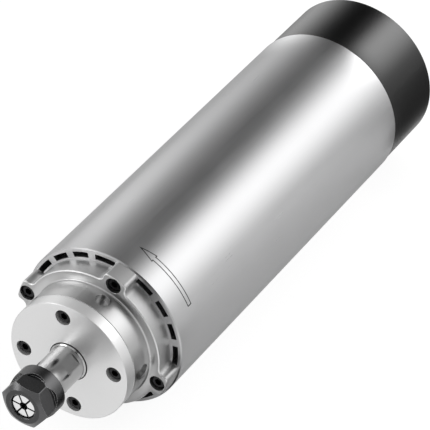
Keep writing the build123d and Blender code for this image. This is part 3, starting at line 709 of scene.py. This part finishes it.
    def lay_cloth(self, name, corners, shade):
        """A flat piece on the floor with those corners."""
        mesh = bpy.data.meshes.new(name)
        outline = tuple(range(len(corners)))
        mesh.from_pydata([(x, y, CARD_HEIGHT) for x, y in corners], [], [outline])
        mesh.materials.append(self.glowing(name, shade))
        self.hide_from_camera(bpy.data.objects.new(name, mesh))

    def make_card(self, name, width, length, shade):
        mesh = bpy.data.meshes.new(name)
        corners = [(-width, -length), (width, -length), (width, length), (-width, length)]
        mesh.from_pydata([(x / 2, y / 2, 0) for x, y in corners], [], [(0, 1, 2, 3)])
        mesh.materials.append(self.glowing(name, shade))
        card = bpy.data.objects.new(name, mesh)
        self.hide_from_camera(card)
        return card

    def glowing(self, name, shade):
        cloth = start_finish(name)
        return cloth.end(cloth.glow(shade))

    def hide_from_camera(self, card):
        """Adds a card that only mirrors see."""
        card.visible_camera = False
        card.visible_shadow = False
        card.visible_diffuse = False
        bpy.context.scene.collection.objects.link(card)


class SPINDLE_OT_housing(bpy.types.Operator):
    """Body tube, front end bell, front cover, rear cap and bracket"""

    bl_idname = "spindle.housing"
    bl_label = "Housing"

    def execute(self, context):
        colours = context.scene.spindle_colours
        tube = metal(
            "tube_satin",
            colours.tube,
            roughness=0.3,
            marks=drawn_along(0.6 * MM),
            depth=0.002 * MM,
        )
        dress(["body_tube"], tube)
        dress(["front_end_bell"], self.bell_metal(colours.casting))
        cover = metal(
            "cover_faced",
            colours.cover,
            roughness=0.33,
            marks=faced(0.25 * MM),
            depth=0.002 * MM,
            shade=(0.97, 1.01),
            metallic=0.62,
        )
        dress(["front_cover"], cover)
        bracket = metal(
            "bracket_cast",
            colours.casting,
            roughness=0.4,
            marks=grained(0.4 * MM),
            depth=0.02 * MM,
            edge=0.2 * MM,
        )
        dress(["rear_bracket"], bracket)
        dress(["rear_cap"], self.black_plastic(colours.cap))
        return {"FINISHED"}

    def bell_metal(self, colour):
        """Cast aluminium: its outer front faces are matt, its sides smooth and its corners bright, as wear
        on its edges and as painted highlight on the flange's sloped corners.
        """
        finish = start_finish("bell_turned")
        lines = finish.turning(0.3 * MM, COARSE_SHARE)
        clouds = finish.clouds()
        slope = finish.part(finish.plain_normal(), 0).maths("ABSOLUTE")
        flange = finish.radius().between(25.5 * MM, 28 * MM)
        facing = slope.between(0.7, 0.95)
        # Painted highlight: the sloped corners of the flange are painted bright.
        corner = flange * slope.between(0.15, 0.4) * (1 - facing)
        plain = finish.tint(clouds * 0.5 + lines * 0.5, colour, *EVEN_SHADE)
        wear_and_highlight = finish.edge_wear_and_highlight(0.2 * MM).maths("MAXIMUM", corner)
        # Edges and corners are painted near white, partly wear and partly painted highlight.
        bare_and_highlight = (0.95, 0.95, 0.95, 1)
        return finish.surface(
            Base_Color=finish.blend(wear_and_highlight * 0.85, plain, bare_and_highlight),
            Metallic=1.0,
            Roughness=0.27 + lines * 0.06 + flange * 0.15 + flange * facing * 0.25,
            Normal=finish.relief(lines, 0.004 * MM, 0.2 * MM),
        )

    def black_plastic(self, colour):
        finish = start_finish("cap_moulded")
        grain = finish.grain(0.35 * MM)
        return finish.surface(
            Base_Color=finish.tint(grain, colour, 0.8, 1.3),
            Roughness=0.22 + grain * 0.06,
            IOR=1.5,
            Normal=finish.relief(grain, 0.004 * MM, 0.2 * MM),
        )


class SPINDLE_OT_screws(bpy.types.Operator):
    """Blackened screws of the cover, the bell and the cap"""

    bl_idname = "spindle.screws"
    bl_label = "Screws"

    def execute(self, context):
        colours = context.scene.spindle_colours
        blackened = metal(
            "screw_blackened",
            colours.screws,
            roughness=0.32,
            marks=grained(0.2 * MM),
            depth=0.004 * MM,
            edge=0.1 * MM,
            shade=(0.7, 1.3),
        )
        dress(["front_cover_screws", "end_bell_screws", "rear_cap_screws"], blackened)
        return {"FINISHED"}


class SPINDLE_OT_nose(bpy.types.Operator):
    """Shaft, collet, nut and extractor ring"""

    bl_idname = "spindle.nose"
    bl_label = "Nose"

    def execute(self, context):
        colours = context.scene.spindle_colours
        dress(["spindle_shaft"], self.shaft_steel(colours.steel))
        dress(["collet"], self.collet_steel(colours.bright))
        dress(["collet_nut", "nut_extractor_ring"], self.nut_steel(colours.nut))
        return {"FINISHED"}

    def shaft_steel(self, colour):
        """Ground steel, with the nut's thread on the nose."""
        finish = start_finish("shaft_ground")
        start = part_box("spindle_shaft")[0].x - MM
        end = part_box("collet_nut")[1].x
        lines = finish.turning(0.2 * MM)
        thread = finish.thread(NOSE_PITCH, start, end)
        return finish.surface(
            Base_Color=finish.tint(lines * (1 - thread * 0.4), colour, 0.9, 1.04),
            Metallic=1.0,
            Roughness=0.14 + lines * 0.05 + thread * 0.1,
            Normal=finish.relief(thread + lines * 0.004, 0.4 * MM, 0.1 * MM),
        )

    def collet_steel(self, colour):
        """Turned steel, with shade painted dark along its slots."""
        finish = start_finish("collet_ground")
        rings = finish.rings(0.2 * MM)
        slots = finish.slot_shade(width=0.66 * MM, count=3, angle=8)
        plain = finish.tint(rings, colour, *EVEN_SHADE)
        # Painted shade: the steel along the slots is painted near black, so that the slots look deeper and
        # wider.
        slot_shadow_colour = (0.03, 0.03, 0.03, 1)
        return finish.surface(
            Base_Color=finish.blend(slots, plain, slot_shadow_colour),
            Metallic=1.0,
            Roughness=0.26 + rings * 0.06,
            Normal=finish.relief(rings, 0.002 * MM, 0.08 * MM),
        )

    def nut_steel(self, colour):
        """Blackened steel whose front ring is darker than its corners, which are painted near white, partly
        as wear and partly as painted highlight.
        """
        finish = start_finish("nut_blackened")
        lines = finish.turning(0.3 * MM, COARSE_SHARE)
        clouds = finish.grain(4 * MM)
        ring = 1 - finish.radius().between(6.8 * MM, 7.05 * MM)
        plain = finish.tint(lines * 0.4 + clouds * 0.6, colour, 0.85, 1.2)
        black = (0.01, 0.01, 0.01, 1)
        bare_and_highlight = (0.85, 0.85, 0.85, 1)
        darker = finish.blend(ring * 0.45, plain, black)
        return finish.surface(
            # Painted highlight and wear: the hexagon's edges are painted near white.
            Base_Color=finish.blend(finish.edge_wear_and_highlight(0.15 * MM) * 0.9, darker, bare_and_highlight),
            Metallic=1.0,
            Roughness=0.22 + clouds * 0.06,
            Normal=finish.relief(lines, 0.001 * MM, 0.15 * MM),
        )


class SPINDLE_OT_bearings(bpy.types.Operator):
    """Bearings, spacers, locknut, spring and clips"""

    bl_idname = "spindle.bearings"
    bl_label = "Bearings"

    steel_endings = (
        "_ring",
        "_balls",
        "_spacer",
        "_locknut",
        "_shields",
        "_circlip",
        "_clip",
        "_spring",
    )
    dressed_elsewhere = ("nut_extractor_ring", "rotor_cage")

    def execute(self, context):
        colours = context.scene.spindle_colours
        names = [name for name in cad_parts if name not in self.dressed_elsewhere]
        steel = metal(
            "bearing_ground",
            colours.steel,
            roughness=0.14,
            marks=turned_along(0.2 * MM),
            depth=0.002 * MM,
            edge=0.1 * MM,
        )
        dress([name for name in names if name.endswith(self.steel_endings)], steel)
        resin = moulded(
            "cage_resin",
            colours.cage,
            roughness=0.45,
            size=0.5 * MM,
            depth=0.01 * MM,
            shade=(0.7, 1.1),
        )
        dress([name for name in names if name.endswith("_cage")], resin)
        return {"FINISHED"}


class SPINDLE_OT_motor(bpy.types.Operator):
    """Rotor, stator, windings, fan and lead sleeve"""

    bl_idname = "spindle.motor"
    bl_label = "Motor"

    def execute(self, context):
        colours = context.scene.spindle_colours
        stack = metal(
            "lamination_stack",
            colours.laminations,
            roughness=0.45,
            marks=turned_along(0.5 * MM),
            depth=0.02 * MM,
            shade=(0.7, 1.1),
        )
        dress(["rotor_core", "stator_core"], stack)
        cage = metal(
            "cage_cast",
            colours.casting,
            roughness=0.42,
            marks=grained(0.5 * MM),
            depth=0.02 * MM,
            edge=0.2 * MM,
        )
        dress(["rotor_cage"], cage)
        wire = metal(
            "winding_wire",
            colours.copper,
            roughness=0.35,
            marks=turned_along(0.8 * MM),
            depth=0.15 * MM,
            shade=(0.6, 1.1),
        )
        dress(["stator_windings"], wire)
        fan = moulded(
            "fan_moulded",
            colours.fan,
            roughness=0.4,
            size=0.5 * MM,
            depth=0.01 * MM,
            shade=(0.8, 1.2),
            edge=0.2 * MM,
        )
        dress(["cooling_fan"], fan)
        dress(["lead_sleeve"], self.braid(colours.sleeve))
        return {"FINISHED"}

    def braid(self, colour):
        """Woven glass yarn."""
        finish = start_finish("sleeve_braid")
        weave = finish.noise(finish.position(1 / (0.8 * MM), 1 / (0.4 * MM)), 1)
        return finish.surface(
            Base_Color=finish.tint(weave, colour, 0.5, 1.1),
            Roughness=0.8 + weave * 0.1,
            Normal=finish.relief(weave, 0.1 * MM),
        )


class SPINDLE_OT_socket(bpy.types.Operator):
    """Power socket: shell, insulator, pins and nut"""

    bl_idname = "spindle.socket"
    bl_label = "Socket"

    def execute(self, context):
        colours = context.scene.spindle_colours
        dress(["socket_shell", "socket_nut"], self.nickel(colours.nickel))
        brass = metal(
            "pin_brass",
            colours.brass,
            roughness=0.18,
            marks=turned_along(0.3 * MM),
            depth=0.002 * MM,
            edge=0.1 * MM,
        )
        dress(["socket_pins"], brass)
        resin = moulded(
            "insulator_moulded",
            colours.insulator,
            roughness=0.42,
            size=0.4 * MM,
            depth=0.004 * MM,
            shade=(0.8, 1.3),
            edge=0.1 * MM,
        )
        dress(["socket_insulator"], resin)
        return {"FINISHED"}

    def nickel(self, colour):
        """Plated metal with the thread of the coupling ring on the barrel."""
        finish = start_finish("socket_nickel")
        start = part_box("rear_cap")[1].x + 2 * MM
        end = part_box("socket_shell")[1].x
        clouds = finish.grain(2 * MM)
        outside = finish.radius().between(7.5 * MM, 7.7 * MM)
        thread = finish.thread(SOCKET_PITCH, start, end) * outside
        return finish.surface(
            Base_Color=finish.tint(clouds, colour, 0.95, 1.03),
            Metallic=1.0,
            Roughness=0.18 + clouds * 0.08,
            Normal=finish.relief(thread, 0.5 * MM, 0.1 * MM),
        )


class SPINDLE_OT_arrow(bpy.types.Operator):
    """Printed arrow that shows which way the shaft turns"""

    bl_idname = "spindle.arrow"
    bl_label = "Rotation arrow"

    def execute(self, context):
        arrow = context.scene.spindle_arrow
        middle = TUBE_FRONT + arrow.setback
        outline = self.sampled(self.corners(arrow), arrow.step)
        mesh = self.line_mesh(outline, arrow, middle)
        printed = bpy.data.objects.new("rotation_arrow", mesh)
        context.scene.collection.objects.link(printed)
        mesh.materials.append(self.ink(context.scene.spindle_colours.ink))
        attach(printed, "housing")
        return {"FINISHED"}

    def corners(self, arrow):
        """The arrow's corners, each an angle about the axis and a place from the middle line."""
        shaft = arrow.shaft_width / 2
        head = arrow.head_width / 2
        return [
            (arrow.tail_angle, -shaft),
            (arrow.tail_angle, shaft),
            (arrow.neck_angle, shaft),
            (arrow.neck_angle, head),
            (arrow.tip_angle, arrow.tip_shift),
            (arrow.neck_angle, -head),
            (arrow.neck_angle, -shaft),
        ]

    def sampled(self, outline, step):
        """The outline with more points, so that its long sides follow the tube."""
        points = []
        for start, end in zip(outline, outline[1:] + outline[:1]):
            pieces = max(1, round(abs(end[0] - start[0]) / step))
            for piece in range(pieces):
                share = piece / pieces
                points.append(tuple(a + (b - a) * share for a, b in zip(start, end)))
        return points

    def wrapped(self, outline, side, lift, middle):
        """The outline moved sideways by half a line's width and laid on the tube."""
        sharpest = 0.35
        radius = TUBE_RADIUS + lift
        flat = [Vector((angle * TUBE_RADIUS, place)) for angle, place in outline]
        laid = []
        for before, here, after in zip(flat[-1:] + flat[:-1], flat, flat[1:] + flat[:1]):
            first = (here - before).normalized()
            second = (after - here).normalized()
            corner = Vector((first.y + second.y, -first.x - second.x)).normalized()
            reach = side / max(sharpest, corner.dot(Vector((first.y, -first.x))))
            moved = here + corner * reach
            turn = moved.x / TUBE_RADIUS
            laid.append((middle + moved.y, radius * math.cos(turn), radius * math.sin(turn)))
        return laid

    def line_mesh(self, outline, arrow, middle):
        """A closed line of ink: an inner and an outer outline, each on the tube and on top of the ink."""
        count = len(outline)
        build = bmesh.new()
        rings = []
        for side in (-arrow.line_width / 2, arrow.line_width / 2):
            for lift in (0, arrow.thickness):
                points = self.wrapped(outline, side, lift, middle)
                rings.append([build.verts.new(point) for point in points])
        low_in, high_in, low_out, high_out = rings
        walls = ((high_in, high_out), (high_out, low_out), (low_out, low_in), (low_in, high_in))
        for here in range(count):
            there = (here + 1) % count
            for first, second in walls:
                build.faces.new((first[here], second[here], second[there], first[there]))
        bmesh.ops.recalc_face_normals(build, faces=build.faces)
        mesh = bpy.data.meshes.new("rotation_arrow")
        build.to_mesh(mesh)
        build.free()
        return mesh

    def ink(self, colour):
        finish = start_finish("printed_ink")
        specks = finish.noise(finish.position(), 1 / (0.2 * MM))
        return finish.surface(
            Base_Color=finish.tint(specks, colour, 0.8, 1.2),
            Roughness=0.7 + specks * 0.1,
            Specular_IOR_Level=0.1,
        )


class SPINDLE_PT_panel(bpy.types.Panel):
    """Lists the colours, the values of the studio and the arrow, and the steps"""

    bl_idname = "SPINDLE_PT_panel"
    bl_label = "Motor spindle"
    bl_space_type = "VIEW_3D"
    bl_region_type = "UI"
    bl_category = "Spindle"

    def draw(self, context):
        scene = context.scene
        for group in (scene.spindle_colours, scene.spindle_studio, scene.spindle_arrow):
            box = self.layout.box()
            for name in group.__annotations__:
                box.prop(group, name)
        for step in STEPS:
            self.layout.operator(step.bl_idname)


STEPS = (
    SPINDLE_OT_studio,
    SPINDLE_OT_housing,
    SPINDLE_OT_screws,
    SPINDLE_OT_nose,
    SPINDLE_OT_bearings,
    SPINDLE_OT_motor,
    SPINDLE_OT_socket,
    SPINDLE_OT_arrow,
)
CLASSES = (SpindleColours, SpindleStudio, SpindleArrow, *STEPS, SPINDLE_PT_panel)


def register():
    for made in CLASSES:
        bpy.utils.register_class(made)
    bpy.types.Scene.spindle_colours = bpy.props.PointerProperty(type=SpindleColours)
    bpy.types.Scene.spindle_studio = bpy.props.PointerProperty(type=SpindleStudio)
    bpy.types.Scene.spindle_arrow = bpy.props.PointerProperty(type=SpindleArrow)


def unregister():
    del bpy.types.Scene.spindle_arrow
    del bpy.types.Scene.spindle_studio
    del bpy.types.Scene.spindle_colours
    for made in reversed(CLASSES):
        bpy.utils.unregister_class(made)


def main():
    register()
    for step in STEPS:
        family, name = step.bl_idname.split(".")
        getattr(getattr(bpy.ops, family), name)()


if __name__ == "__main__":
    main()
